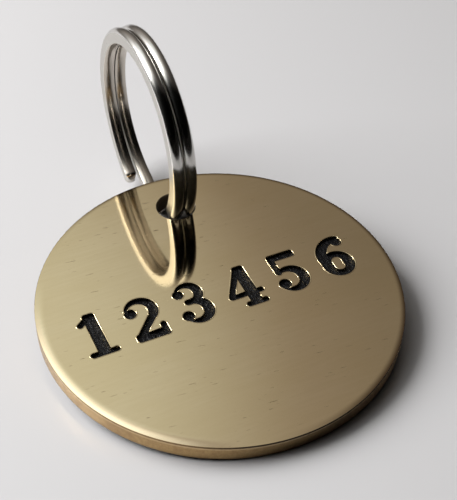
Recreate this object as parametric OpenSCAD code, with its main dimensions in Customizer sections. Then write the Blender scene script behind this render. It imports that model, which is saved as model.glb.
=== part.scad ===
// Pet id tag: a round brass disc with six engraved figures filled with black enamel,
// hung on a steel split ring. It rests as the tag lies on a table: on the near edge
// of the disc and on the ring, which leans against the edges of its hole.

/* [Disc] */
// Diameter of the brass disc
disc_d = 33; // [28:0.5:40]
// Thickness of the disc
disc_t = 1.8; // [1.4:0.1:2.2]
// Width of the polished band along the rim, where the engraved face slopes off
band_w = 0.45; // [0.3:0.05:1]
// Slope of that band in degrees, down to a crisp edge
band_slope = 20; // [10:1:30]
// Radius of the arc in which the face bends into that slope
band_arc_r = 0.5; // [0.2:0.05:0.55]
// Radius that rounds the edge of the back
back_round = 0.2; // [0.1:0.05:0.4]

/* [Ring hole] */
// Diameter of the hole that the split ring passes through
hole_d = 3.65; // [3.5:0.05:4.2]
// Chamfer on both edges of the hole
hole_chamfer = 0.1; // [0.05:0.05:0.25]
// Brass left between the hole and the rim of the disc
hole_web = 2.5; // [1.5:0.05:3.5]
// How far the hole sits to the right of the disc's middle
hole_aside = 0.9; // [0:0.05:2]

/* [Split ring] */
// Outer diameter of the split ring
ring_od = 19.9; // [17:0.1:24]
// Thickness of the wire, measured from the ring's inside to its outside
wire_t = 1.6; // [1.5:0.05:1.8]
// Width of the two turns together, measured along the ring's axis
pair_w = 2.35; // [2:0.05:2.5]
// Gap between the two turns
seam_gap = 0.1; // [0.06:0.01:0.2]
// Rise of the wire's rounded outside beyond its flat sides
outer_rise = 0.4; // [0.2:0.05:0.5]
// Rise of the wire's rounded inside beyond its flat sides
inner_rise = 0.15; // [0.1:0.05:0.4]
// Clearance that is left where the leaning ring meets the edges of the hole
lean_gap = 0.035; // [0.02:0.005:0.08]

/* [Wire ends] */
// Angle round the ring from the hole to the visible end of the wire
end_from_hole = 69; // [60:1:110]
// Angle over which the wire steps across from one turn to the other
step_span = 36; // [28:1:44]
// Angle between each wire end and the step
end_room = 3; // [2:1:6]
// Length of the rounded nose on each end
nose_l = 0.7; // [0.5:0.1:1.4]
// How far the visible end springs away from the other turn
end_spring = 0.2; // [0:0.05:0.4]
// Angle of the wire that takes part in that spring
spring_span = 50; // [30:5:80]

/* [Engraving] */
// Height of the figures
figure_h = 5; // [3.5:0.25:6]
// Space between two figures
figure_gap = 1; // [0.6:0.1:1.6]
// Depth of the engraved pockets
pocket_depth = 0.5; // [0.3:0.05:0.8]
// Thickness of the enamel on the floor of a pocket
enamel_t = 0.2; // [0.1:0.05:0.28]
// Clearance round each enamel filling
enamel_gap = 0.02; // [0.01:0.01:0.05]

/* [Hidden] */
$fn = 96;

// Overrun of every cut past the face that it opens
cut_over = 0.5;

// Disc and hole
disc_r = disc_d / 2;
flat_r = disc_r - band_w;
bend_r = flat_r + band_arc_r * sin(band_slope);
bend_drop = band_arc_r * (1 - cos(band_slope));
edge_drop = bend_drop + (disc_r - bend_r) * tan(band_slope);
bend_steps = 6;
// Points of the bend, from the flat of the face to the start of the slope
face_bend = [for (i = [0:bend_steps]) let (a = band_slope * i / bend_steps)
    [flat_r + band_arc_r * sin(a), band_arc_r * (cos(a) - 1)]];
// Points of the rounded back edge, from the wall to the back
back_bend = [for (i = [0:bend_steps]) let (a = 90 * i / bend_steps)
    [disc_r - back_round * (1 - cos(a)), back_round * (1 - sin(a)) - disc_t]];
hole_r = hole_d / 2;
hole_y = disc_r - hole_web - hole_r;

// Wire of the split ring
wire_w = (pair_w - seam_gap) / 2;
lane_x = (pair_w - wire_w) / 2;
ring_r = ring_od / 2;
mid_r = ring_r - wire_t / 2;

// Section of the wire: flat sides, a rounded outside and a rounded inside
crown_points = 9;
// One rounded side: an arc of the given rise over the wire's width
function crown(rise) = let (
    r = (pow(wire_w / 2, 2) + pow(rise, 2)) / (2 * rise),
    half = asin(wire_w / 2 / r)
) [for (i = [0:crown_points - 1]) let (a = half * (2 * i / (crown_points - 1) - 1))
    [r * sin(a), r * (cos(a) - cos(half))]];
// Outline round the wire's middle: the outside, then the inside back
section = concat(
    [for (p = crown(outer_rise)) [p[0], wire_t / 2 - outer_rise + p[1]]],
    [for (p = crown(inner_rise)) [-p[0], inner_rise - wire_t / 2 - p[1]]]
);

// Lean of the ring: it tips in its hole until its wire meets an edge of the hole on each
// side. Seen from the wire, an edge lies edge_off to the side of the hole's middle and
// edge_run along the wire, where the wire has curved away by edge_run squared over 2 r
edge_z = disc_t / 2 - hole_chamfer;
function edge_off(lean, x) = sqrt(pow(hole_r, 2) - pow(x, 2)) * cos(lean) - edge_z * sin(lean);
function edge_run(lean, x) = sqrt(pow(hole_r, 2) - pow(x, 2)) * sin(lean) + edge_z * cos(lean);
// Distance from the hole to the ring's centre at which the wire, r out and x along the
// ring's axis, meets the edge on one side
function meeting(lean, x, r, side) = r + side * edge_off(lean, x) - pow(edge_run(lean, x), 2) / (2 * r);
// Greatest distance that keeps the inside of the wire off its edge, and least distance
// that keeps the outside off the other one
function far_reach(lean) = min([for (p = section) if (p[1] < 0)
    meeting(lean, lane_x + abs(p[0]), mid_r + p[1], 1)]);
function near_reach(lean) = max([for (p = section) if (p[1] > 0)
    meeting(lean, lane_x + abs(p[0]), mid_r + p[1], -1)]);
// Halves the span from low to high until the lean that leaves the clearance is found
function find_lean(low, high, rounds) = let (lean = (low + high) / 2)
    rounds == 0 ? lean
    : far_reach(lean) - near_reach(lean) > 2 * lean_gap ? find_lean(lean, high, rounds - 1)
    : find_lean(low, lean, rounds - 1);
ring_lean = find_lean(0, 60, 20);
ring_reach = (far_reach(ring_lean) + near_reach(ring_lean)) / 2;
// Centre of the ring, with the engraved face at height 0
ring_cy = hole_y + ring_reach * cos(ring_lean);
ring_cz = ring_reach * sin(ring_lean) - disc_t / 2;

// Rest: the disc tips until the ring and the near edge of the back share one plane,
// where foot_y * sin(tilt) + foot_z * cos(tilt) is foot_drop
foot_y = ring_cy + disc_r - back_round;
foot_z = ring_cz + disc_t - back_round;
foot_drop = ring_r - back_round;
rest_tilt = asin(foot_drop / norm([foot_y, foot_z])) - atan2(foot_z, foot_y);
floor_z = ring_cy * sin(rest_tilt) + ring_cz * cos(rest_tilt) - ring_r;
near_y = edge_drop * sin(rest_tilt) - disc_r * cos(rest_tilt);
far_y = ring_cy * cos(rest_tilt) - ring_cz * sin(rest_tilt) + ring_r;
middle_y = (near_y + far_y) / 2;

// Stations along the wire, as angles from its visible end
wire_span = 720 - step_span - 2 * end_room;
step_from = 360 - end_room - step_span;
nose_span = nose_l / mid_r * 180 / PI;
nose_shares = [0.04, 0.15, 0.35, 0.62];
turn_step = 6;
joggle_step = 3;

// Eases from 0 to 1 with level ends
function ease(u) = u <= 0 ? 0 : u >= 1 ? 1 : u * u * (3 - 2 * u);
// Even stations from a to b, without b
function even(a, b, most) = let (n = ceil((b - a) / most)) [for (i = [0:n - 1]) a + (b - a) * i / n];
// Place of the wire's middle along the ring's axis
function lane_at(t) = lane_x * (2 * ease((t - step_from) / step_span) - 1)
    - end_spring * pow(max(0, 1 - t / spring_span), 2);
// How full the section is near a rounded end
function fullness(t) = let (s = min(1, min(t, wire_span - t) / nose_span)) sqrt(1 - pow(1 - s, 2));
// Point at station t, at a height above the wire's middle and to one side of it
function wire_point(t, rise, side) = let (a = 180 + end_from_hole + t)
    [lane_at(t) + side, (mid_r + rise) * cos(a), (mid_r + rise) * sin(a)];
stations = concat(
    [for (s = nose_shares) s * nose_span],
    even(nose_span, step_from, turn_step),
    even(step_from, step_from + step_span, joggle_step),
    even(step_from + step_span, wire_span - nose_span, turn_step),
    [wire_span - nose_span],
    [for (i = [len(nose_shares) - 1:-1:0]) wire_span - nose_shares[i] * nose_span]
);

// Least gap of the wire to itself, between the facing flats and ahead of the two ends
facing_gaps = [
    for (t = stations) if (t + 360 <= wire_span)
        lane_at(t + 360) - lane_at(t) - wire_w / 2 * (fullness(t) + fullness(t + 360))
];
first_tip = wire_point(0, 0, 0);
last_tip = wire_point(wire_span, 0, 0);
step_points = [
    for (t = stations) if (t > step_from - turn_step && t < step_from + step_span + turn_step)
        for (p = section) wire_point(t, p[1], p[0])
];
tip_gaps = [for (p = step_points) min(norm(p - first_tip), norm(p - last_tip))];
echo(str("Least gap of the wire to itself in mm: ", min(concat(facing_gaps, tip_gaps))));

// Figures 1 to 6 as passes of a round cutter, in shares of the figure height.
// A bar is [x1, y1, x2, y2, width]; a ball is [x, y, radius]; a counter is [x, y1, y2, radius].
// A bowl is [x, y, radius] of its outer and of its inner circle, then its two end angles.
cutter_share = 0.12;
width_shares = [0.66, 0.74, 0.72, 0.78, 0.72, 0.74];
bar_shares = [
    [[0.12, 0.06, 0.54, 0.06, 0.12], [0.33, 0.06, 0.33, 0.94, 0.23], [0.3, 0.9, 0.13, 0.78, 0.12]],
    [[0.485, 0.485, 0.17, 0.14, 0.15], [0.12, 0.095, 0.62, 0.095, 0.19], [0.62, 0.06, 0.62, 0.26, 0.12]],
    [[0.26, 0.535, 0.38, 0.535, 0.13]],
    [
        [0.5, 0.06, 0.5, 0.94, 0.23], [0.45, 0.92, 0.12, 0.34, 0.12],
        [0.11, 0.31, 0.68, 0.31, 0.12], [0.34, 0.06, 0.66, 0.06, 0.12]
    ],
    [[0.17, 0.91, 0.6, 0.91, 0.18], [0.17, 0.88, 0.17, 0.53, 0.12]],
    []
];
bowl_shares = [
    [],
    [[0.37, 0.69, 0.31, 0.3, 0.68, 0.19, -55, 165]],
    [
        [0.36, 0.735, 0.265, 0.29, 0.735, 0.15, -95, 160],
        [0.36, 0.305, 0.305, 0.28, 0.305, 0.175, -160, 95]
    ],
    [],
    [[0.35, 0.32, 0.32, 0.27, 0.32, 0.19, -160, 128]],
    [[0.54, 0.52, 0.475, 0.63, 0.5, 0.345, 78, 205]]
];
ball_shares = [
    [],
    [[0.165, 0.685, 0.115]],
    [[0.165, 0.765, 0.105], [0.15, 0.235, 0.115]],
    [],
    [[0.16, 0.245, 0.12]],
    [[0.38, 0.315, 0.315], [0.6, 0.83, 0.11], [0.622, 0.912, 0.07]]
];
counter_shares = [[], [], [], [], [], [[0.38, 0.25, 0.38, 0.095]]];

function sum_to(v, n) = n <= 0 ? 0 : v[n - 1] + sum_to(v, n - 1);
row_w = sum_to(width_shares, len(width_shares)) * figure_h + (len(width_shares) - 1) * figure_gap;

// A straight pass of the cutter with rounded corners
module bar(b, grow) {
    h = figure_h;
    corner_r = cutter_share * h / 2;
    run = norm([b[2] - b[0], b[3] - b[1]]) * h;
    spread = b[4] * h / 2 - corner_r;
    translate([b[0] * h, b[1] * h]) rotate(atan2(b[3] - b[1], b[2] - b[0])) {
        for (x = [0, run], y = spread > 0 ? [-spread, spread] : [0])
            translate([x, y]) circle(r = corner_r + grow);
        translate([0, -spread - corner_r - grow]) square([run, 2 * (spread + corner_r + grow)]);
        if (spread > 0)
            translate([-corner_r - grow, -spread]) square([run + 2 * (corner_r + grow), 2 * spread]);
    }
}

// A curved pass that swells from thin to thick, between two circles
module bowl(b, grow) {
    h = figure_h;
    reach = 2 * b[2] * h;
    fan = [for (i = [0:6]) let (a = b[6] + (b[7] - b[6]) * i / 6) [reach * cos(a), reach * sin(a)]];
    intersection() {
        difference() {
            translate([b[0] * h, b[1] * h]) circle(r = b[2] * h + grow);
            translate([b[3] * h, b[4] * h]) circle(r = b[5] * h - grow);
        }
        translate([b[0] * h, b[1] * h]) polygon(concat([[0, 0]], fan));
    }
}

// Outline of figure i, grown on all sides, or shrunk where grow is negative
module figure(i, grow) {
    h = figure_h;
    difference() {
        union() {
            for (b = bar_shares[i]) bar(b, grow);
            for (b = bowl_shares[i]) bowl(b, grow);
            for (b = ball_shares[i]) translate([b[0] * h, b[1] * h]) circle(r = b[2] * h + grow);
        }
        for (c = counter_shares[i]) {
            for (y = [c[1], c[2]]) translate([c[0] * h, y * h]) circle(r = c[3] * h - grow);
            translate([c[0] * h - c[3] * h + grow, c[1] * h])
                square([2 * (c[3] * h - grow), (c[2] - c[1]) * h]);
        }
    }
}

// Puts figure i at its place in the row, which is centred on the disc
module in_row(i) {
    translate([sum_to(width_shares, i) * figure_h + i * figure_gap - row_w / 2, -figure_h / 2, 0])
        children();
}

// Takes a piece from the disc's own frame to the rest position on the table
module at_rest() {
    translate([0, -middle_y, -floor_z]) rotate([rest_tilt, 0, 0]) children();
}

// Half profile of the disc: a flat face that bends into a sloping band, a crisp edge, a
// straight wall and a rounded edge at the back
module disc_profile() {
    polygon(concat([[0, 0]], face_bend, [[disc_r, -edge_drop]], back_bend, [[0, -disc_t]]));
}

module hole_cut() {
    translate([hole_aside, hole_y, 0]) {
        translate([0, 0, -disc_t - cut_over]) cylinder(h = disc_t + 2 * cut_over, r = hole_r);
        for (side = [0, 1]) translate([0, 0, -disc_t * side]) mirror([0, 0, side])
            translate([0, 0, -hole_chamfer])
                cylinder(h = hole_chamfer + cut_over, r1 = hole_r, r2 = hole_r + hole_chamfer + cut_over);
    }
}

module tag_disc() {
    color("goldenrod") at_rest() difference() {
        rotate_extrude() disc_profile();
        hole_cut();
        for (i = [0:len(width_shares) - 1]) in_row(i) translate([0, 0, -pocket_depth])
            linear_extrude(height = pocket_depth + cut_over) figure(i, 0);
    }
}

module enamel(i) {
    color("black") at_rest() in_row(i) translate([0, 0, -pocket_depth])
        linear_extrude(height = enamel_t) figure(i, -enamel_gap);
}

// One unbroken wire of nearly two turns, in the ring's own plane, with the hole at -Y
module wire() {
    n = len(section);
    last = len(stations) - 1;
    skin = [for (t = stations) for (p = section) let (k = fullness(t)) wire_point(t, k * p[1], k * p[0])];
    first_pole = len(skin);
    sides = [
        for (i = [0:last - 1]) for (j = [0:n - 1])
            let (a = i * n + j, b = i * n + (j + 1) % n) each [[a, a + n, b], [b, a + n, b + n]]
    ];
    ends = [
        for (j = [0:n - 1]) let (k = (j + 1) % n)
            each [[first_pole, j, k], [first_pole + 1, last * n + k, last * n + j]]
    ];
    polyhedron(points = concat(skin, [first_tip, last_tip]), faces = concat(sides, ends), convexity = 6);
}

module split_ring() {
    color("silver") at_rest() translate([hole_aside, hole_y, -disc_t / 2])
        rotate([ring_lean, 0, 0]) translate([0, ring_reach, 0]) wire();
}

tag_disc();
split_ring();
enamel(0);  // enamel_figure_1
enamel(1);  // enamel_figure_2
enamel(2);  // enamel_figure_3
enamel(3);  // enamel_figure_4
enamel(4);  // enamel_figure_5
enamel(5);  // enamel_figure_6
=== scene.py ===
# %% [markdown]
# A pet id tag, dressed for the camera
#
# The tag is a brass disc with engraved, black-filled figures, hung on a steel split ring.
# The CAD model comes in as a fixed frame: it says where everything is, in metres, with the
# table at height 0. This script gives every piece its look. It keeps the disc and the
# enamel, whose shapes are exact, adds the rounded lips of the engraving, and rebuilds the
# ring as a finer surface, because polished steel shows every facet.

# %% Load the frame
import math

import bpy
import numpy as np
from mathutils import Matrix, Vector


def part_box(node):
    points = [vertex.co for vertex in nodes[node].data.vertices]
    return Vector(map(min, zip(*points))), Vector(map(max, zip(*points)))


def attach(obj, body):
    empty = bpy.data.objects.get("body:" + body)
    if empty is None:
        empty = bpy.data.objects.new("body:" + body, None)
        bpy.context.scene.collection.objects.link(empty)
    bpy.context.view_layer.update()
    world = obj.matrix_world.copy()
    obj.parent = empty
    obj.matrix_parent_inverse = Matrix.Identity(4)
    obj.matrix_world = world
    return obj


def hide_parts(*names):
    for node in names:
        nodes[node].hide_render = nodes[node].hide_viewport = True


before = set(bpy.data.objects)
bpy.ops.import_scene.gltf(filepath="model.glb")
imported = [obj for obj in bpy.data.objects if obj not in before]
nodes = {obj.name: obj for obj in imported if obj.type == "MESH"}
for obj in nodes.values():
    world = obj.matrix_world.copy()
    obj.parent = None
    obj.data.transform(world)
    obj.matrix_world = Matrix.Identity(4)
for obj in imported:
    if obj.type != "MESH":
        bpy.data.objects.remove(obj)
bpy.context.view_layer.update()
MM = 0.001
print("CAD nodes:", ", ".join(sorted(nodes)))

# %% [markdown]
# The camera
#
# The photograph was taken close to the tag, from its left front and well above. A close
# camera makes near things large, so its place matters as much as its direction. It could be
# set by eye; here its place, aim, roll and lens come from fitting circles of the disc and
# the ring to their outlines, which leaves about a pixel of error. Blender lays its sensor
# along the picture's longer side, here the height, so the height turns pixels into
# millimetres of lens.

# %% Camera
PHOTO_HEIGHT = 500
FOCAL_PIXELS = 1105.7
SENSOR_MM = 36
CAMERA_AT = np.array([-29.893, -73.717, 69.425]) * MM
CAMERA_AIM = np.array([3.253, -0.980, 3.500]) * MM
CAMERA_ROLL = 1.2745
CLIP_START = 5 * MM


def unit(vector):
    """The vector at length 1."""
    return np.asarray(vector, float) / np.linalg.norm(vector)


def aim_matrix(place, target, roll=0.0):
    """Matrix of an object at place whose -Z axis points at target: its Z is the line from
    target to place, its X is level, and both X and Y are then turned about Z by roll."""
    back = unit(np.subtract(place, target))
    level = unit(np.cross([0, 0, 1], back))
    up = np.cross(back, level)
    c, s = math.cos(math.radians(roll)), math.sin(math.radians(roll))
    columns = [c * level - s * up, s * level + c * up, back, place]
    matrix = np.eye(4)
    matrix[:3] = np.stack(columns, -1)
    return Matrix(matrix.tolist())


camera_data = bpy.data.cameras.new("camera")
camera_data.sensor_width = SENSOR_MM
camera_data.lens = FOCAL_PIXELS / PHOTO_HEIGHT * SENSOR_MM
camera_data.clip_start = CLIP_START
camera = bpy.data.objects.new("camera", camera_data)
camera.matrix_world = aim_matrix(CAMERA_AT, CAMERA_AIM, CAMERA_ROLL)
bpy.context.scene.collection.objects.link(camera)
bpy.context.scene.camera = camera
print("camera lens in mm:", round(camera_data.lens, 2))

# %% [markdown]
# Shader maths as plain expressions
#
# A finish is a tree of small nodes. Linking them by hand buries the idea, so one small class
# wraps a socket and lets Python's own operators add the Math nodes.

# %% A socket with operators
class Tone:
    """One output socket of a material. + - * / and ** on it add Math nodes."""

    def __init__(self, tree, socket):
        self.tree, self.socket = tree, socket

    def math(self, operation, a, b):
        """The result of a new Math node on a and b."""
        return self.tree.node("ShaderNodeMath", {"operation": operation}, {0: a, 1: b})

    def __add__(self, other):
        return self.math("ADD", self, other)

    def __radd__(self, other):
        return self.math("ADD", other, self)

    def __sub__(self, other):
        return self.math("SUBTRACT", self, other)

    def __rsub__(self, other):
        return self.math("SUBTRACT", other, self)

    def __mul__(self, other):
        return self.math("MULTIPLY", self, other)

    def __rmul__(self, other):
        return self.math("MULTIPLY", other, self)

    def __truediv__(self, other):
        return self.math("DIVIDE", self, other)

    def __pow__(self, other):
        return self.math("POWER", self, other)

    def at_least(self, other):
        """The larger of this value and the other."""
        return self.math("MAXIMUM", self, other)


# %% [markdown]
# One method for every other node
#
# A Noise or a Mapping node needs a type, settings and the values or links of its sockets.
# Written out, that is a line for each. One method takes all of it in one call, so a node is
# made where its result is needed, and the tree grows as the expressions are worked out.

# %% A tree of nodes
class Tree:
    """The nodes of one material or world. node() adds a node and returns its output."""

    def __init__(self, owner, shader):
        self.owner = owner
        owner.use_nodes = True
        self.nodes, self.links = owner.node_tree.nodes, owner.node_tree.links
        self.shader = self.nodes[shader]

    def put(self, socket, value):
        """Links value to a socket if it is a Tone, and sets it otherwise."""
        if isinstance(value, Tone):
            self.links.new(value.socket, socket)
        else:
            socket.default_value = value

    def node(self, kind, settings=None, sockets=None, out=0):
        """Adds a node of that kind: first its settings, such as an operation, then its
        sockets by name or number. Returns output number or name out as a Tone."""
        made = self.nodes.new(kind)
        for key, value in (settings or {}).items():
            setattr(made, key, value)
        for key, value in (sockets or {}).items():
            self.put(made.inputs[key], value)
        return Tone(self, made.outputs[out])

    def split(self, vector):
        """The three numbers of a vector."""
        made = self.nodes.new("ShaderNodeSeparateXYZ")
        self.put(made.inputs[0], vector)
        return [Tone(self, socket) for socket in made.outputs]

    def join(self, x, y, z=0.0):
        """A vector from three numbers."""
        return self.node("ShaderNodeCombineXYZ", {}, {0: x, 1: y, 2: z})

    def shade(self, **values):
        """Sets or links the shader's sockets: Base_Color, Roughness, Normal and so on."""
        for socket, value in values.items():
            self.put(self.shader.inputs[socket.replace("_", " ")], value)


# %% [markdown]
# A finish in a maker's words
#
# Short methods on top of it name what this script does again and again: place a pattern,
# make marks, mark off a zone, lay colours over each other, raise a relief.

# %% A finish under construction
class Finish(Tree):
    """A new material. Values that are the same all over it are given by name."""

    def __init__(self, name, **constants):
        super().__init__(bpy.data.materials.new(name), "Principled BSDF")
        self.shade(**constants)

    def place(self, turn=(0, 0, 0), move=(0, 0, 0)):
        """Object coordinates, moved by -move and turned back by turn, as one vector."""
        where = self.node("ShaderNodeTexCoord", out="Object")
        return self.node("ShaderNodeMapping", {"vector_type": "TEXTURE"},
                         {"Vector": where, "Location": move, "Rotation": turn})

    def noise(self, vector, detail=2.0, roughness=0.5):
        """Soft noise from 0 to 1 that varies over one unit of the vector."""
        return self.node("ShaderNodeTexNoise", {"noise_dimensions": "3D"},
                         {"Vector": vector, "Scale": 1.0, "Detail": detail, "Roughness": roughness})

    def marks(self, along, across, count, seed=0.0, **settings):
        """Noise stretched over a surface: count gives its marks to a unit of along and to a
        unit of across, and each seed takes another slice of it."""
        return self.noise(self.join(along * count[0], across * count[1], seed), **settings)

    def step(self, value, low, high):
        """0 below low, 1 above high, and a smooth rise between them."""
        return self.node("ShaderNodeMapRange", {"interpolation_type": "SMOOTHSTEP"},
                         {"Value": value, "From Min": low, "From Max": high})

    def mix(self, share, a, b):
        """Colour a where share is 0, colour b where it is 1. Sockets 6 and 7 of a Mix node
        are its two colours, and output 2 is the mixed one."""
        a, b = (tint if isinstance(tint, Tone) else (*tint, 1) for tint in (a, b))
        return self.node("ShaderNodeMix", {"data_type": "RGBA"}, {0: share, 6: a, 7: b}, out=2)

    def layered(self, tint, *layers):
        """The tint under layers of (mask, strength, colour), from the lowest to the highest:
        each is mixed over what lies below it by its mask times its strength."""
        for mask, strength, colour in layers:
            tint = self.mix(mask * strength, tint, colour)
        return tint

    def blend(self, share, a, b):
        """Vector a where share is 0, vector b where it is 1. Sockets 4 and 5 of a Mix node
        are its two vectors, and output 1 is the mixed one."""
        return self.node("ShaderNodeMix", {"data_type": "VECTOR"}, {0: share, 4: a, 5: b}, out=1)

    def bump(self, height, distance, normal=None):
        """Normal of a surface raised by height times distance, on top of its own normal or
        the one given."""
        base = {} if normal is None else {"Normal": normal}
        return self.node("ShaderNodeBump", {}, {"Height": height, "Distance": distance, **base})


def dress(piece, finish):
    """Gives a piece one finish."""
    piece.data.materials.clear()
    piece.data.materials.append(finish.owner)
    print(piece.name, "wears", finish.owner.name, "of", len(finish.nodes), "nodes")


# %% [markdown]
# Where the disc lies
#
# The disc rests on the near edge of its back, and the ring holds its far side up, so its
# face is tipped by a few degrees. The brass's pattern has to lie on the metal, and the lips
# of the engraving are worked out on a level face, so both need the tilt. It could be typed
# in; it is read from the CAD mesh instead, where the largest triangle that looks up lies on
# the flat face.

# %% Tilt and middle of the disc
def mesh_arrays(piece):
    """Points of a piece's mesh, and the point numbers of its triangles, as two arrays."""
    mesh = piece.data
    mesh.calc_loop_triangles()
    points = np.zeros(len(mesh.vertices) * 3)
    mesh.vertices.foreach_get("co", points)
    corners = np.zeros(len(mesh.loop_triangles) * 3, int)
    mesh.loop_triangles.foreach_get("vertices", corners)
    return points.reshape(-1, 3), corners.reshape(-1, 3)


def turn_x(points, angle):
    """Points turned about the X axis, right-handed: y cos - z sin and y sin + z cos."""
    c, s = math.cos(angle), math.sin(angle)
    x, y, z = points[..., 0], points[..., 1], points[..., 2]
    return np.stack([x, c * y - s * z, s * y + c * z], -1)


def lie_of_disc(piece):
    """Tilt about the X axis and middle of the face. The normal of the largest triangle that
    looks up leans back by the tilt. In the levelled disc the middle is halfway across in X
    and Y, at the greatest height."""
    points, corners = mesh_arrays(piece)
    first, second, third = (points[corners[:, side]] for side in range(3))
    normals = np.cross(second - first, third - first)
    upward = normals[normals[:, 2] > 0]
    face = upward[np.linalg.norm(upward, axis=1).argmax()]
    tilt = math.atan2(-face[1], face[2])
    level = turn_x(points, -tilt)
    low, high = level.min(0), level.max(0)
    return tilt, turn_x(np.array([*(low + high)[:2] / 2, high[2]]), tilt)


TILT, DISC_MIDDLE = lie_of_disc(nodes["tag_disc"])
print("disc tilt in degrees:", round(math.degrees(TILT), 3), "middle in mm:", (DISC_MIDDLE / MM).round(3))

# %% [markdown]
# The disc's brass and its zones
#
# The real disc is cut from sheet brass. Its face was rubbed along the line of the figures,
# its wall was turned on a lathe, and its edge at the near left is rubbed rounder and carries
# a painted highlight where the light falls on it. These could be materials of their own on
# sets of faces, but the worn, lit edge fades into the rest. So one material does it all, and
# masks from 0 to 1 say where a point is: face, wall or hole by its distance from their
# middles, and near left or far side by its direction. The disc lies tipped, so the pattern's
# own coordinates are tipped with it.

# %% Zones of the disc
DISC_R, EDGE_W, DISC_T = 16.5 * MM, 0.45 * MM, 1.8 * MM
FLAT_R = DISC_R - EDGE_W
HOLE_R, HOLE_WEB, HOLE_ASIDE = 1.825 * MM, 2.5 * MM, 0.9 * MM
HOLE_Y = DISC_R - HOLE_WEB - HOLE_R
NEAR_LEFT, FAR_RIGHT = math.radians(-158), math.radians(20)
WALL_SPAN = (DISC_R - 0.03 * MM, DISC_R - 0.01 * MM)
HOLE_SPAN = (HOLE_R + 0.06 * MM, HOLE_R + 0.14 * MM)
EDGE_SPAN = (FLAT_R - 0.50 * MM, DISC_R - 0.10 * MM)
LIT_WORN_COSINES, FAR_COSINES = (0.60, 0.95), (-0.55, 0.20)

brass = Finish("tag_brass")
x, y, z = brass.split(brass.place(turn=(TILT, 0, 0), move=tuple(DISC_MIDDLE)))
out = (x * x + y * y) ** 0.5
angle = brass.node("ShaderNodeMath", {"operation": "ARCTAN2"}, {0: y, 1: x})
from_hole = ((x - HOLE_ASIDE) ** 2 + (y - HOLE_Y) ** 2) ** 0.5


def facing(direction):
    """Cosine between the direction of a point, seen from the disc's middle, and another."""
    return (x * math.cos(direction) + y * math.sin(direction)) / out


near_left = facing(NEAR_LEFT)
on_wall = brass.step(out, *WALL_SPAN)
in_hole = 1.0 - brass.step(from_hole, *HOLE_SPAN)
# Near left: the rubbed edge, which also gets a painted highlight in its colour
wear_and_light = brass.step(near_left, *LIT_WORN_COSINES)
lit_worn_edge = brass.step(out, *EDGE_SPAN) * wear_and_light
# Far side: where the rim gets painted shade
far_shaded_side = brass.step(facing(FAR_RIGHT), *FAR_COSINES)
print("flat face out to mm:", round(FLAT_R / MM, 2), "hole's middle at mm:", round(HOLE_Y / MM, 3))

# %% [markdown]
# Marks on the brass
#
# Rubbing leaves long, very fine grain in one direction, some broader streaks and a few short
# nicks. Clouds of handling lie over it. The lathe leaves lines round the wall, and use
# leaves blotches, flecks and stains on it. Painting them would take an image; noise can be
# stretched until its marks have the right length and width instead. Counts are marks to the
# metre on the face, and marks to the radian and to the metre on the wall.

# %% Marks of rubbing, handling and turning
grain = brass.marks(x, y, (160.0, 12000.0), detail=3.0, roughness=0.65)
streak = brass.marks(x, y, (200.0, 3000.0), seed=3.0, detail=3.0, roughness=0.6)
cloud = brass.marks(x, y, (90.0, 160.0), seed=6.0, detail=4.0, roughness=0.6)
patch = brass.marks(x, y, (260.0, 320.0), seed=9.0, detail=3.0)
dash = brass.marks(x - y * 0.15, y + x * 0.10, (700.0, 6000.0), seed=5.0, detail=1.0)
nick = brass.step(dash, 0.700, 0.745) * brass.step(patch, 0.47, 0.57)
blotch = brass.marks(angle, z, (42.0, 1700.0), seed=1.0, detail=5.0, roughness=0.68)
fleck = brass.step(brass.marks(angle, z, (190.0, 9000.0), seed=2.0), 0.60, 0.72)
turned = brass.marks(angle, z, (4.0, 9000.0), seed=4.0)
stain = brass.marks(angle, z, (6.0, 400.0), seed=8.0, detail=4.0)
print("brass nodes so far:", len(brass.nodes))

# %% [markdown]
# Colour of the face
#
# Clean brass is yellow, and handled brass goes browner in clouds. The rubbed edge at the
# near left carries a painted highlight, almost white. The far edge bends down to something
# dark, which the photograph shows as a thin brown line, and that line is painted shade.
# Colours are laid over each other like glazes.

# %% Face colour
FACE_BRASS, FACE_STREAK = (0.682, 0.560, 0.350), (0.708, 0.582, 0.369)
FACE_CLOUD = (0.660, 0.532, 0.312)
NICK_BROWN = (0.14, 0.10, 0.05)
PAINTED_EDGE_HIGHLIGHT = (0.86, 0.78, 0.60)
RIM_SHADE_BROWN = (0.07, 0.03, 0.01)
RIM_SHADE_SPAN = (DISC_R - 0.60 * MM, DISC_R + 0.02 * MM)

# Painted shade: a thin brown line along the far rim
painted_rim_shade = brass.step(out, *RIM_SHADE_SPAN) * far_shaded_side
face_tint = brass.layered(
    brass.mix(brass.step(streak, 0.3, 0.7), FACE_BRASS, FACE_STREAK),
    (brass.step(cloud, 0.35, 0.65), 0.50, FACE_CLOUD),
    (nick, 0.55, NICK_BROWN),
    # Painted highlight on the rubbed edge at the near left
    (lit_worn_edge, 0.35, PAINTED_EDGE_HIGHLIGHT),
    # Painted shade along the far rim
    (painted_rim_shade, 0.85, RIM_SHADE_BROWN))
print("far rim shaded from mm:", round(RIM_SHADE_SPAN[0] / MM, 2))
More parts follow.
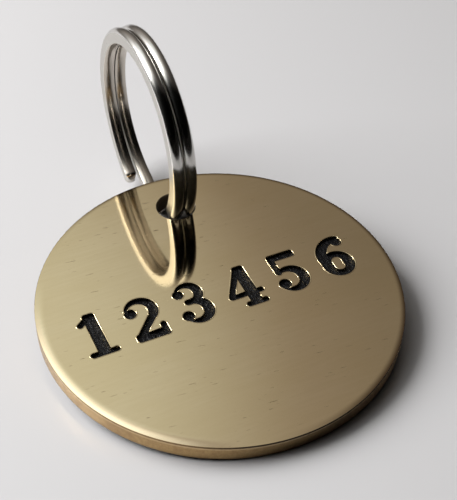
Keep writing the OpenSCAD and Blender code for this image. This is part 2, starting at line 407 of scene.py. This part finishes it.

# %% [markdown]
# Colour of the wall
#
# The wall is redder and duller than the face, with stains, turned lines and flecks. A painted
# highlight makes it palest at the near left. Past the front it carries painted shade, which
# fades round the back. Two lines run round it: a dark line of painted shade just below the
# crisp edge, fainter where the edge is lit, and a pale line of painted highlight under that.
# Its lowest part is brown where it meets the table.

# %% Wall colour
WALL_DEEP, WALL_BRIGHT = (0.40, 0.252, 0.110), (0.55, 0.375, 0.170)
WALL_HIGHLIGHT_PALE = (0.66, 0.46, 0.22)
STAIN_BROWN = (0.30, 0.175, 0.080)
LINE_BROWN = (0.25, 0.16, 0.08)
FLECK_BROWN = (0.20, 0.115, 0.050)
FRONT_SHADE = (0.085, 0.058, 0.034)
FOOT_BROWN = (0.20, 0.115, 0.055)
GLINT_PALE = (0.78, 0.60, 0.36)
SHADE_LINE_DARK = (0.030, 0.018, 0.010)
FOOT_SPAN = (-1.75 * MM, -1.35 * MM)
SHADE_LINE_SPAN = (-0.36 * MM, -0.30 * MM)
GLINT_LINE_SPAN = (-0.52 * MM, -0.45 * MM)
SHADE_COSINES, FADE_COSINES = (0.30, 0.85), (-0.15, 0.20)
SHADE_LEFT = 0.2

# A painted shade line just below the edge, and a painted highlight line under it
shade_line = brass.step(z, *SHADE_LINE_SPAN)
glint_line = brass.step(z, *GLINT_LINE_SPAN) * (1.0 - shade_line)
# Painted shade on the wall past the front, fading round the back
painted_front_shade = 1.0 - brass.step(near_left, *SHADE_COSINES)
painted_front_shade = painted_front_shade * (SHADE_LEFT + (1 - SHADE_LEFT) * brass.step(near_left, *FADE_COSINES))
wall_tint = brass.layered(
    brass.mix(brass.step(blotch, 0.25, 0.75), WALL_DEEP, WALL_BRIGHT),
    # Painted highlight: the wall is palest at the near left
    (brass.step(near_left, 0.95, 1.0), 0.50, WALL_HIGHLIGHT_PALE),
    (brass.step(stain, 0.50, 0.72), 0.50, STAIN_BROWN),
    (brass.step(turned, 0.55, 0.75), 0.25, LINE_BROWN),
    (fleck, 0.45, FLECK_BROWN),
    (painted_front_shade, 0.56, FRONT_SHADE),
    (1.0 - brass.step(z, *FOOT_SPAN), 0.65, FOOT_BROWN),
    # Painted highlight line under the edge
    (glint_line, 0.45, GLINT_PALE),
    # Painted shade line just below the edge, fainter where the edge is lit
    (shade_line, 0.95 - 0.6 * wear_and_light, SHADE_LINE_DARK))
print("lines round the wall at mm:", [round(v / MM, 2) for v in SHADE_LINE_SPAN + GLINT_LINE_SPAN])

# %% [markdown]
# One colour and one gloss
#
# The masks now join face, wall and hole. The hole is never polished and is painted with
# shade, so it is nearly black and not metallic. Just below the face, the metal of the lips
# carries painted shade as it turns into the pockets. Gloss goes the same way: the face is
# close to a mirror, dulled by grain and nicks, and the wall is satin.

# %% Colour and gloss of the whole disc
FACE_ROUGH, WALL_ROUGH, HOLE_ROUGH = 0.035, 0.24, 0.50
HOLE_SHADE = (0.016, 0.011, 0.007)
LIP_SHADE_BROWN = (0.16, 0.12, 0.07)
LIP_DEPTH = (-0.012 * MM, -0.002 * MM)
LIP_REACH = (FLAT_R - 1.2 * MM, FLAT_R - 1.0 * MM)

# Where the lips turn into the pockets: painted shade there, and more roughness
below_face = (1.0 - brass.step(z, *LIP_DEPTH)) * (1.0 - brass.step(out, *LIP_REACH))
tint = brass.layered(
    brass.mix(on_wall, face_tint, wall_tint),
    # Painted shade: the hole nearly black
    (in_hole, 0.97, HOLE_SHADE),
    # Painted shade on the lips where they turn into the pockets
    (below_face, 0.45, LIP_SHADE_BROWN))
face_rough = FACE_ROUGH + brass.step(cloud, 0.3, 0.7) * 0.025 + grain * 0.02 + nick * 0.25
face_rough = face_rough + lit_worn_edge * 0.10
rough = face_rough * (1.0 - on_wall) + (WALL_ROUGH + blotch * 0.16) * on_wall
rough = rough * (1.0 - in_hole) + HOLE_ROUGH * in_hole + below_face * 0.10
print("brass nodes so far:", len(brass.nodes))

# %% [markdown]
# Relief and the rounded edge
#
# Marks are also hollows. Bump raises or lowers them by less than a thousandth of a
# millimetre, which is enough to stretch a highlight. The rubbed edge at the near left bends
# away more roundly than the rest, by less than a tenth of a millimetre. Instead of another
# mesh, the normal that the light sees leans outwards there: it is the face's own normal
# (0, 0, 1) plus a slope that points away from the middle, turned by the disc's tilt.

# %% Relief of the brass
WORN_SLOPE = math.tan(math.radians(17))
RELIEF = 0.0009 * MM
LEAN_SPAN = (FLAT_R - 0.8 * MM, FLAT_R - 0.6 * MM)

relief = (grain * 0.08 + streak * 0.06 - nick * 1.5) * (1.0 - on_wall)
relief = relief + (blotch * 3.0 + turned) * on_wall
slope = lit_worn_edge * WORN_SLOPE / out
leaning = brass.join(x * slope,
                     y * slope * math.cos(TILT) - math.sin(TILT),
                     y * slope * math.sin(TILT) + math.cos(TILT))
to_world = {"vector_type": "NORMAL", "convert_from": "OBJECT", "convert_to": "WORLD"}
leaning = brass.node("ShaderNodeVectorTransform", to_world, {0: leaning})
near_edge = brass.step(out, *LEAN_SPAN) * (1.0 - on_wall)
own_normal = brass.node("ShaderNodeNewGeometry", out="Normal")
normal = brass.bump(relief, RELIEF, brass.blend(near_edge, own_normal, leaning))
brass.shade(Base_Color=tint, Metallic=1.0 - in_hole, Roughness=rough, Normal=normal)
dress(nodes["tag_disc"], brass)

# %% [markdown]
# The lips of the engraving
#
# A cutter pushes soft brass aside, so the edges of each figure aren't knife-sharp: a rounded
# lip stands a few thousandths of a millimetre proud of the face and hangs a little over the
# pocket. It is what catches the light along every stroke. The CAD mesh can't be bevelled,
# because it has to stay as it is, but its triangles hold the pocket outlines: an edge inside
# the row of figures that only one triangle of the flat face has lies on such an outline.

# %% Pocket outlines from the CAD mesh
ROW_HALF = np.array([13.5, 3.2]) * MM
SAME_POINT = 0.0001 * MM
FACE_DEPTH = 0.001 * MM


def pocket_edges(piece):
    """Points of the disc in its own frame, and the edges round the figures as pairs of point
    numbers, with the metal on their left. Points that are the same become one, and an edge is
    kept if no triangle has it the other way round."""
    points, corners = mesh_arrays(piece)
    level = turn_x(points - DISC_MIDDLE, -TILT)
    merged, place = np.unique(np.round(level / SAME_POINT).astype(int), axis=0, return_inverse=True)
    merged = merged * SAME_POINT
    triangles = place.reshape(-1)[corners]
    triangles = triangles[np.abs(merged[triangles][:, :, 2]).max(1) < FACE_DEPTH]
    edges = np.vstack([triangles[:, [0, 1]], triangles[:, [1, 2]], triangles[:, [2, 0]]])
    ahead = edges[:, 0] * len(merged) + edges[:, 1]
    back = edges[:, 1] * len(merged) + edges[:, 0]
    edges = edges[~np.isin(ahead, back)]
    return merged, edges[(np.abs(merged[edges][:, :, :2]) < ROW_HALF).all((1, 2))]


face_points, face_edges = pocket_edges(nodes["tag_disc"])
print("edges round the figures:", len(face_edges))

# %% [markdown]
# The outlines are many short edges, and a curve with a bevel would round their corners off.
# So a small closed profile is carried along them as arrays. At each point it stands on the
# mitre between the two edges that meet there, which keeps its width the same all along.

# %% Lips along the outlines
LIP = np.array([(0.10, -0.004), (0.05, 0.006), (0.015, 0.006),
                (-0.035, -0.035), (-0.04, -0.09), (0.02, -0.12)]) * MM


def carried_lip(points, edges):
    """Grid of points: the profile LIP, as (over the metal, up), stands at each point along
    the mitre (n1 + n2) / (1 + n1 . n2) of the normals of the two edges that meet there."""
    along = points[edges[:, 1], :2] - points[edges[:, 0], :2]
    along /= np.linalg.norm(along, axis=1)[:, None]
    left = np.c_[-along[:, 1], along[:, 0]]
    arriving, leaving = np.zeros((2, len(points), 2))
    arriving[edges[:, 1]] = left
    leaving[edges[:, 0]] = left
    mitre = (arriving + leaving) / (1 + (arriving * leaving).sum(1))[:, None]
    aside = points[:, None, :2] + mitre[:, None] * LIP[None, :, :1]
    up = np.broadcast_to(LIP[None, :, 1:], aside.shape[:2] + (1,))
    return np.concatenate([aside, up], -1)


def carried_faces(edges, size):
    """Quads between the profiles of that size at both ends of each edge, facing outwards."""
    start, end = (edges * size).T[:, :, None]
    spot = np.arange(size)
    following = (spot + 1) % size
    return np.stack([start + following, end + following, end + spot, start + spot], -1).reshape(-1, 4)


def new_piece(name, points, faces):
    """A mesh object of the given points and faces, with its own origin at the frame's."""
    mesh = bpy.data.meshes.new(name)
    mesh.from_pydata(points.tolist(), [], faces)
    mesh.update()
    piece = bpy.data.objects.new(name, mesh)
    bpy.context.scene.collection.objects.link(piece)
    return piece


def enclosed(points, triangles):
    """Volume inside closed triangles: a sixth of the sum of a . (b x c) over their corners,
    which is positive if they face outwards."""
    corners = points[triangles]
    return np.einsum("ij,ij->i", corners[:, 0], np.cross(corners[:, 1], corners[:, 2])).sum() / 6


used, lip_edges = np.unique(face_edges, return_inverse=True)
lip_edges = lip_edges.reshape(-1, 2)
lip_points = carried_lip(face_points[used], lip_edges).reshape(-1, 3)
lip_points = turn_x(lip_points, TILT) + DISC_MIDDLE
lip_faces = carried_faces(lip_edges, len(LIP))
lips = new_piece("figure_lips", lip_points, lip_faces.tolist())
lips.data.shade_smooth()
dress(lips, brass)
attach(lips, "tag")
lip_volume = enclosed(lip_points, np.vstack([lip_faces[:, [0, 1, 2]], lip_faces[:, [0, 2, 3]]]))
print("lip faces:", len(lip_faces), "volume in cubic mm:", round(lip_volume / MM ** 3, 4))

# %% [markdown]
# The black filling
#
# Each figure is milled half a millimetre deep and filled with black enamel. The dry paint
# isn't smooth: it lies over the cutter's marks and shrinks into small bumps, whose glints
# tell the eye that it sits below the brass. The bumps could be modelled, but they are too
# small to change an outline, so a Bump node raises them: a third of a millimetre apart, with
# finer ones on top. A patchy gloss and specks of dust break the glints up.

# %% Enamel finish
ENAMEL_DEEP, ENAMEL_THIN = (0.0022, 0.0022, 0.0026), (0.006, 0.006, 0.0075)
DUST_GREY = (0.075, 0.075, 0.085)
ENAMEL_ROUGH = 0.15
BUMP_HEIGHT = 0.21 * MM

enamel = Finish("enamel_black", Specular_IOR_Level=0.18)
x, y, z = enamel.split(enamel.place())
bumps = enamel.noise(enamel.join(x * 3300.0, y * 2600.0, z * 2600.0), detail=3.0, roughness=0.6)
film = enamel.marks(x, y, (900.0, 900.0), seed=2.0, detail=3.0)
dust = enamel.step(enamel.marks(x, y, (5200.0, 5200.0), seed=7.0), 0.62, 0.72)
black = enamel.layered(enamel.mix(film, ENAMEL_DEEP, ENAMEL_THIN), (dust, 0.30, DUST_GREY))
enamel_rough = ENAMEL_ROUGH + film * 0.20 + dust * 0.1
enamel.shade(Base_Color=black, Roughness=enamel_rough, Normal=enamel.bump(bumps, BUMP_HEIGHT))
for name in sorted(nodes):
    if name.startswith("enamel_figure"):
        dress(nodes[name], enamel)

# %% [markdown]
# The split ring
#
# The ring is one steel wire with flat sides, wound nearly two turns. It could be two rings
# side by side, but then it would have no ends and no step, and nothing could ever be fed
# onto it. So the wire is one section carried along one path: a first turn, a smooth step
# sideways, and a second turn that lies against the first. Both ends are rounded noses.
#
# Polished wire shows its section in its highlights: a strongly rounded outside, a slightly
# rounded inside, and two flat sides that meet them at small, soft corners.

# %% Section of the wire
RING_R, WIRE_T = 9.95 * MM, 1.6 * MM
PAIR_W, SEAM = 2.35 * MM, 0.10 * MM
OUTER_RISE, INNER_RISE = 0.40 * MM, 0.15 * MM
CORNER = 0.06 * MM
WIRE_W = (PAIR_W - SEAM) / 2
LANE = (PAIR_W - WIRE_W) / 2
MID_R = RING_R - WIRE_T / 2
CROWN_POINTS, CORNER_POINTS = 18, 6
FIRST_FLATNESS = 0.2


def half_outline(rise):
    """Points from the middle of a crown to the flat side, as (aside, up, flatness). The crown
    is a circle through the middle and the side's edge, of radius (w^2 + rise^2) / (2 rise)
    with w half the width. A small circle of radius CORNER touches both it and the side."""
    w = WIRE_W / 2
    big = (w * w + rise * rise) / (2 * rise)
    low = rise - big
    high = low + math.sqrt((big - CORNER) ** 2 - (w - CORNER) ** 2)
    lean = math.atan2(w - CORNER, high - low)
    a = np.linspace(0, lean, CROWN_POINTS)
    b = np.linspace(lean, math.pi / 2, CORNER_POINTS + 1)[1:]
    flatness = np.linspace(FIRST_FLATNESS, 1, CORNER_POINTS)
    crown = np.c_[big * np.sin(a), low + big * np.cos(a), 0 * a]
    corner = np.c_[w - CORNER + CORNER * np.sin(b), high + CORNER * np.cos(b), flatness]
    return np.vstack([crown, corner])


def wire_outline():
    """The closed outline of the wire as (aside, up, flatness), clockwise from the top of the
    outside: right half of the outside, then right half of the inside upside down, then both
    again mirrored to the left."""
    outer = half_outline(OUTER_RISE) + [0, WIRE_T / 2 - OUTER_RISE, 0]
    inner = half_outline(INNER_RISE) + [0, WIRE_T / 2 - INNER_RISE, 0]
    right = np.vstack([outer, inner[::-1] * [1, -1, 1]])
    left = right[::-1][1:-1] * [-1, 1, 1]
    return np.vstack([right, left])


outline = wire_outline()
print("outline points:", len(outline), "width", round(np.ptp(outline[:, 0]) / MM, 3),
      "height", round(np.ptp(outline[:, 1]) / MM, 3))

# %% [markdown]
# The path of the wire
#
# The wire starts 69 degrees round from the hole. It keeps to the left lane, crosses to the
# right lane over 36 degrees, and goes on until just before the step would begin again. The
# free end stands a little away from the other turn, as on a ring that has been opened often.
# These are the CAD model's own sizes, so the surface covers its solid.

# %% Path of the wire
END_FROM_HOLE, STEP_SPAN, END_ROOM = 69.0, 36.0, 3.0
NOSE = 0.7 * MM
END_SPRING, SPRING_SPAN = 0.2 * MM, 50.0
WIRE_SPAN = 720 - STEP_SPAN - 2 * END_ROOM
STEP_FROM = 360 - END_ROOM - STEP_SPAN
NOSE_SPAN = math.degrees(NOSE / MID_R)
NOSE_POINTS, WIRE_POINTS = 14, 640
TIP = 0.06


def path_stations():
    """Angles along the wire from its free end: about a degree apart, and gathered at both
    noses by 1 - cos, from TIP radians to a right angle, so that they come out round."""
    nose = NOSE_SPAN * (1 - np.cos(np.linspace(TIP, math.pi / 2, NOSE_POINTS)))
    middle = np.linspace(NOSE_SPAN, WIRE_SPAN - NOSE_SPAN, WIRE_POINTS)[1:-1]
    return np.concatenate([nose, middle, WIRE_SPAN - nose[::-1]])


def lane(t):
    """Sideways place of the wire at station t: -LANE, then the smooth step u*u*(3-2u) across
    to +LANE, less the spring of the free end, which fades with the square of the distance."""
    u = np.clip((t - STEP_FROM) / STEP_SPAN, 0, 1)
    spring = END_SPRING * np.clip(1 - t / SPRING_SPAN, 0, 1) ** 2
    return LANE * (2 * u * u * (3 - 2 * u) - 1) - spring


def fullness(t):
    """Share of the full section at station t: a quarter circle over each nose, 1 between."""
    s = np.clip(np.minimum(t, WIRE_SPAN - t) / NOSE_SPAN, 0, 1)
    return np.sqrt(np.clip(1 - (1 - s) ** 2, 0, 1))


stations = path_stations()
print("stations:", len(stations), "wire length in mm:", round(math.radians(WIRE_SPAN) * MID_R / MM, 1))

# %% [markdown]
# The swept surface
#
# Path and section make a grid: one row per station, one column per point of the outline.
# All points are worked out at once as arrays, in the ring's own plane, and then turned until
# the line from the ring's middle to the hole is where the CAD has it. The ring is round, so
# its middle is the middle of its box, and the hole follows from the disc.

# %% Ring surface
def sweep_wire(hole, middle):
    """Grid of points: at station t the section stands on a circle of radius MID_R at the
    angle 180 + END_FROM_HOLE + t, scaled by fullness and moved sideways by lane. The angle
    180 points from the middle to the hole."""
    full = fullness(stations)[:, None]
    angles = np.radians(180 + END_FROM_HOLE + stations)[:, None]
    side = lane(stations)[:, None] + full * outline[None, :, 0]
    radius = MID_R + full * outline[None, :, 1]
    flat_ring = np.stack([side, radius * np.cos(angles), radius * np.sin(angles)], -1)
    away = middle - hole
    return turn_x(flat_ring, math.atan2(away[2], away[1])) + middle


def tube_faces(rows, columns):
    """Quads of a grid that is closed round its columns, and a fan of triangles to one pole
    point at each end, whose numbers follow the grid's. All of them face outwards."""
    row, column = np.meshgrid(np.arange(rows - 1), np.arange(columns), indexing="ij")
    here, beside = row * columns + column, row * columns + (column + 1) % columns
    quads = np.stack([here, here + columns, beside + columns, beside], -1).reshape(-1, 4)
    column = np.arange(columns)
    beside = (column + 1) % columns
    last = (rows - 1) * columns
    first_cap = np.stack([column, beside, np.full(columns, rows * columns)], -1)
    last_cap = np.stack([last + beside, last + column, np.full(columns, rows * columns + 1)], -1)
    return quads, np.vstack([first_cap, last_cap])


hole_middle = turn_x(np.array([HOLE_ASIDE, HOLE_Y, -DISC_T / 2]), TILT) + DISC_MIDDLE
ring_middle = np.mean(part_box("split_ring"), axis=0)
ring_middle[0] = HOLE_ASIDE
grid = sweep_wire(hole_middle, ring_middle)
rows, columns = grid.shape[:2]
poles = [grid[0].mean(0), grid[-1].mean(0)]
ring_points = np.vstack([grid.reshape(-1, 3), poles])
quads, caps = tube_faces(rows, columns)
ring = new_piece("split_ring_polished", ring_points, quads.tolist() + caps.tolist())
ring.data.shade_smooth()
ring_volume = enclosed(ring_points, np.vstack([quads[:, [0, 1, 2]], quads[:, [0, 2, 3]], caps]))
print("ring faces:", len(ring.data.polygons), "volume in cubic mm:", round(ring_volume / MM ** 3, 1))

# %% [markdown]
# Marks that follow the wire
#
# Draw lines run along the wire through its whole winding, so plain coordinates can't place
# them. Every point of the surface carries three numbers of its own instead, as an attribute:
# metres along the wire, metres round its section, and how flat its spot of the section is.

# %% Metres along and round the wire, and flatness
around = np.concatenate([[0], np.cumsum(np.linalg.norm(np.diff(outline[:, :2], axis=0), axis=1))])
along = np.radians(stations) * MID_R
wire_marks = np.zeros((rows * columns + 2, 3))
wire_marks[:-2, 0] = np.repeat(along, columns)
wire_marks[:-2, 1] = np.tile(around, rows)
wire_marks[:-2, 2] = np.tile(outline[:, 2], rows)
wire_marks[-2:, 0] = along[[0, -1]]
layer = ring.data.attributes.new("wire_marks", "FLOAT_VECTOR", "POINT")
layer.data.foreach_set("vector", wire_marks.ravel())
print("points with marks:", len(wire_marks), "metres along:", round(along[-1], 4))

# %% [markdown]
# Polished steel
#
# A split ring is drawn from wire, wound and tumbled. Its rounded outside is polished almost
# to a mirror, with faint draw lines. Its inside is a little duller and yellower, its flat
# sides only rub against the other turn and stay satin, and where it passes through the hole
# it is dark with dirt and painted shade. The three numbers of each point tell these apart.

# %% Zones of the steel
INSIDE_BLEND = 0.1 * MM
PAST_CORNER = 3
IN_PLATE_SPAN = (1.00 * MM, 1.30 * MM)

steel = Finish("ring_steel", Metallic=1.0)
mark = steel.node("ShaderNodeAttribute", {"attribute_name": "wire_marks"}, out="Vector")
run, girth, flatness = steel.split(mark)
flat = steel.step(flatness, 0.55, 0.95)
half_points = CROWN_POINTS + CORNER_POINTS
inside_from, inside_to = around[half_points + PAST_CORNER], around[-half_points - PAST_CORNER]
past_start = steel.step(girth, inside_from, inside_from + INSIDE_BLEND)
past_end = steel.step(girth, inside_to, inside_to + INSIDE_BLEND)
inside = past_start * (1.0 - past_end)
# Where the wire passes through the hole: dirt and painted shade
in_plate = 0.0
for turn in (360, 720):
    at_hole = math.radians(turn - END_FROM_HOLE) * MID_R
    apart = steel.node("ShaderNodeMath", {"operation": "ABSOLUTE"}, {0: run - at_hole})
    in_plate = in_plate + (1.0 - steel.step(apart, *IN_PLATE_SPAN))
print("inside of the wire from mm:", round(inside_from / MM, 2), "to mm:", round(inside_to / MM, 2))

# %% Steel finish
BRIGHT_ROUGH, SATIN_ROUGH = 0.09, 0.23
STEEL_BRIGHT, STEEL_SATIN = (0.62, 0.605, 0.575), (0.54, 0.520, 0.480)
STEEL_DULL = (0.50, 0.48, 0.45)
INSIDE_YELLOW = (0.46, 0.34, 0.20)
PLATE_SHADE_AND_DIRT = (0.03, 0.026, 0.022)
STEEL_RELIEF = 0.0008 * MM

draw = steel.marks(run, girth, (140.0, 14000.0), roughness=0.6)
rub = steel.marks(run, girth, (900.0, 2200.0), seed=6.0, detail=3.0)
dull = steel.marks(run, girth, (260.0, 500.0), seed=8.0)
steel_tint = steel.layered(
    steel.mix(flat, STEEL_BRIGHT, STEEL_SATIN),
    (steel.step(dull, 0.55, 0.85), 0.25, STEEL_DULL),
    (inside, 0.30, INSIDE_YELLOW),
    # Dirt and painted shade where the wire passes through the hole
    (in_plate, 0.90, PLATE_SHADE_AND_DIRT))
steel_rough = (BRIGHT_ROUGH + draw * 0.06 + dull * 0.05 + inside * 0.09) * (1.0 - flat)
steel_rough = steel_rough + (SATIN_ROUGH + rub * 0.14) * flat
steel_relief = draw * (1.0 - flat) * 0.5 + rub * flat * 1.6
steel.shade(Base_Color=steel_tint, Roughness=steel_rough, Normal=steel.bump(steel_relief, STEEL_RELIEF))
dress(ring, steel)
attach(ring, "ring")
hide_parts("split_ring")

# %% [markdown]
# The table
#
# The tag lies on a pale, slightly glossy table. A large plain plane is enough, but a single
# tone would look like a cut-out, so its colour and gloss vary a little, and it mirrors the
# rim of the disc faintly. Under the far side of the disc the table is in deep shade, which
# the photograph shows through the hole. The soft light here still reaches that spot, so the
# table has a dark patch there.

# %% Floor
FLOOR_HALF = 1.5
TABLE_ROUGH = 0.24
SHADE_X, SHADE_Y = 3 * MM, 9 * MM
SHADE_SPAN = (3.5 * MM, 8 * MM)
TABLE_LOW, TABLE_HIGH = (0.572, 0.564, 0.570), (0.590, 0.582, 0.588)
SHADE_TINT = (0.02, 0.018, 0.016)

table_top = Finish("table_white")
where = table_top.place()
cloud = table_top.noise(where)
x, y, z = table_top.split(where)
from_shade = ((x - SHADE_X) ** 2 + (y - SHADE_Y) ** 2) ** 0.5
table_tint = table_top.layered(
    table_top.mix(cloud, TABLE_LOW, TABLE_HIGH),
    (1.0 - table_top.step(from_shade, *SHADE_SPAN), 0.95, SHADE_TINT))
table_top.shade(Base_Color=table_tint, Roughness=TABLE_ROUGH + cloud * 0.06)
floor_corners = np.array([(-1, -1, 0), (1, -1, 0), (1, 1, 0), (-1, 1, 0)]) * FLOOR_HALF
floor = new_piece("floor", floor_corners, [(0, 1, 2, 3)])
dress(floor, table_top)

# %% [markdown]
# The room
#
# Mirror-like metal shows the room more than any lamp. The photograph was lit softly from the
# upper left, in a room that is dark in front of the tag and dim to the right. An image of a
# room would do, but this one has to come from code, so it is a smooth sky. Its brightness
# depends on how far a direction turns away from the light: a wide glow, a softer one on the
# ceiling, a window pane above the back, a slightly dimmer spot beside it, and a fall to dark
# on the camera's side. Cosines of the angle to each of these directions make the masks. The
# directions and widths come from fitting this sky to what the metal mirrors in the
# photograph, and some were then changed.

# %% Directions of the room
GLOW_TOWARDS = unit([-0.826, 0.007, 0.563])
CEILING_TOWARDS = unit([-0.150, 0.562, 0.814])
PANE_TOWARDS = unit([0.042, 0.530, 0.847])
BACK_TOWARDS = unit([0.100, 0.775, 0.624])
DUSK_TOWARDS = unit([0.46, 0.58, 0.67])
CAMERA_TOWARDS = unit(CAMERA_AT)
PANE_COSINES, DUSK_COSINES = (0.945, 0.999), (0.984, 0.994)
CAMERA_COSINES = (0.62, 0.86)
BEHIND_COSINES, EDGE_COSINES = (0.172, 0.71), (0.19, 0.42)


class Room(Finish):
    """A finish whose nodes are the world's and whose shader is its background."""

    def __init__(self, world):
        Tree.__init__(self, world, "Background")

    def towards(self, direction):
        """Cosine of the angle between the ray and a direction."""
        ray = self.node("ShaderNodeTexCoord", out="Generated")
        return self.node("ShaderNodeVectorMath", {"operation": "DOT_PRODUCT"},
                         {0: ray, 1: tuple(direction)}, out="Value")


bpy.context.scene.view_settings.view_transform = "Standard"
world = bpy.data.worlds.new("room")
bpy.context.scene.world = world
room = Room(world)
lit = room.towards(GLOW_TOWARDS)
pane = room.step(room.towards(PANE_TOWARDS), *PANE_COSINES)
dusk = room.step(room.towards(DUSK_TOWARDS), *DUSK_COSINES)
camera_side = room.step(room.towards(CAMERA_TOWARDS), *CAMERA_COSINES)
back = room.towards(BACK_TOWARDS)
behind = room.step(back, *BEHIND_COSINES) * room.step(back, *EDGE_COSINES)
print("glow comes from", GLOW_TOWARDS.round(3))

# %% [markdown]
# How bright each direction is
#
# The glow could be a colour ramp with a list of stops, but a formula says it in fewer
# numbers. Over the cosine of the angle from its middle it is a faint base, plus a part that
# rises evenly from WIDE_FROM on, plus a core that rises with the square from CORE_FROM on.
# The lamp that follows gives the table most of its light, so the room gives it less: rays
# that leave a matt surface see a dimmer room than rays that leave a mirror.

# %% Brightness and tint of the room
GLOW_BASE = 0.093
WIDE_GLOW, WIDE_FROM = 0.52, 0.10
CORE_GLOW, CORE_FROM = 9.6, 0.40
CEILING_GLOW, CEILING_EDGE = 0.97, 0.395
PANE_GLOW = 0.30
DARKEST = 0.006
CAMERA_LOSS, DUSK_LOSS, MATT_LOSS = 0.80, 0.08, 0.54
WARM_COSINES = (0.1, 0.8)
DIM_TINT, BRIGHT_TINT = (1.0, 0.89, 0.80), (1.0, 1.0, 0.985)
PANE_TINT = (1.0, 1.25, 1.26)

glow = GLOW_BASE + WIDE_GLOW * (lit - WIDE_FROM).at_least(0.0)
glow = glow + CORE_GLOW * (lit - CORE_FROM).at_least(0.0) ** 2
ceiling = CEILING_GLOW * (room.towards(CEILING_TOWARDS) - CEILING_EDGE).at_least(0.0) ** 2
level = (glow + ceiling) * (1.0 - CAMERA_LOSS * camera_side) * (1.0 - DUSK_LOSS * dusk)
pane_light = PANE_GLOW * pane
room_tint = room.mix(room.step(lit, *WARM_COSINES), DIM_TINT, BRIGHT_TINT)
room_tint = room.mix(pane_light / (level + pane_light), room_tint, PANE_TINT)
on_matt = room.node("ShaderNodeLightPath", out="Is Diffuse Ray")
level = (level + pane_light) * (DARKEST + (1 - DARKEST) * behind)
room.shade(Color=room_tint, Strength=level * (1.0 - MATT_LOSS * on_matt))
print("room nodes:", len(room.nodes))

# %% [markdown]
# Lamps and screen
#
# The sky alone would leave the table one even tone, so a broad lamp to the left behind the
# tag lights it like a window. The ring would mirror that lamp as long white streaks, so
# mirrors don't see it, and a smaller one that the table doesn't see gives the short
# highlights. The lower half of the ring mirrors something low and dark in front of the tag.
# A dark screen stands there, like a photographer's black card, and only mirrors see it.

# %% Lamps and screen
WINDOW_AT, WINDOW_SIZE, WINDOW_WATTS = (-0.192, 0.149, 0.186), 0.27, 1.62
MIRRORED_AT, MIRRORED_SIZE, MIRRORED_WATTS = (-0.216, 0.144, 0.150), 0.13, 0.90
SCREEN_R, SCREEN_H = 75 * MM, 30 * MM
SCREEN_FROM, SCREEN_TO, SCREEN_PIECES = -190, 15, 48


def soft_lamp(name, place, size, watts):
    """A round area light of the given size that faces the origin."""
    data = bpy.data.lights.new(name, "AREA")
    data.shape, data.size, data.energy = "DISK", size, watts
    lamp = bpy.data.objects.new(name, data)
    lamp.matrix_world = aim_matrix(place, (0, 0, 0))
    bpy.context.scene.collection.objects.link(lamp)
    return lamp


def standing_strip(name):
    """A wall round the tag: points at SCREEN_R from SCREEN_FROM to SCREEN_TO degrees, once on
    the table and once at the height SCREEN_H, joined by quads."""
    angles = np.radians(np.linspace(SCREEN_FROM, SCREEN_TO, SCREEN_PIECES + 1))
    foot = np.c_[SCREEN_R * np.cos(angles), SCREEN_R * np.sin(angles), 0 * angles]
    piece = np.arange(SCREEN_PIECES)
    above = piece + SCREEN_PIECES + 1
    faces = np.stack([piece, piece + 1, above + 1, above], -1)
    return new_piece(name, np.vstack([foot, foot + [0, 0, SCREEN_H]]), faces.tolist())


window = soft_lamp("window", WINDOW_AT, WINDOW_SIZE, WINDOW_WATTS)
window.visible_glossy = False
mirrored = soft_lamp("mirrored_window", MIRRORED_AT, MIRRORED_SIZE, MIRRORED_WATTS)
mirrored.visible_diffuse = False
screen = standing_strip("dark_screen")
dark = Finish("screen_black", Roughness=0.9, Specular_IOR_Level=0.0)
speck = dark.noise(dark.place(), detail=1.0)
dark.shade(Base_Color=dark.mix(speck, (0.004, 0.004, 0.004), (0.008, 0.007, 0.006)))
dress(screen, dark)
screen.visible_camera = screen.visible_diffuse = screen.visible_shadow = False
print("window at", tuple(round(v, 3) for v in window.location))

# %% [markdown]
# Finish
#
# The view layer is brought up to date.

# %% Finish
bpy.context.view_layer.update()
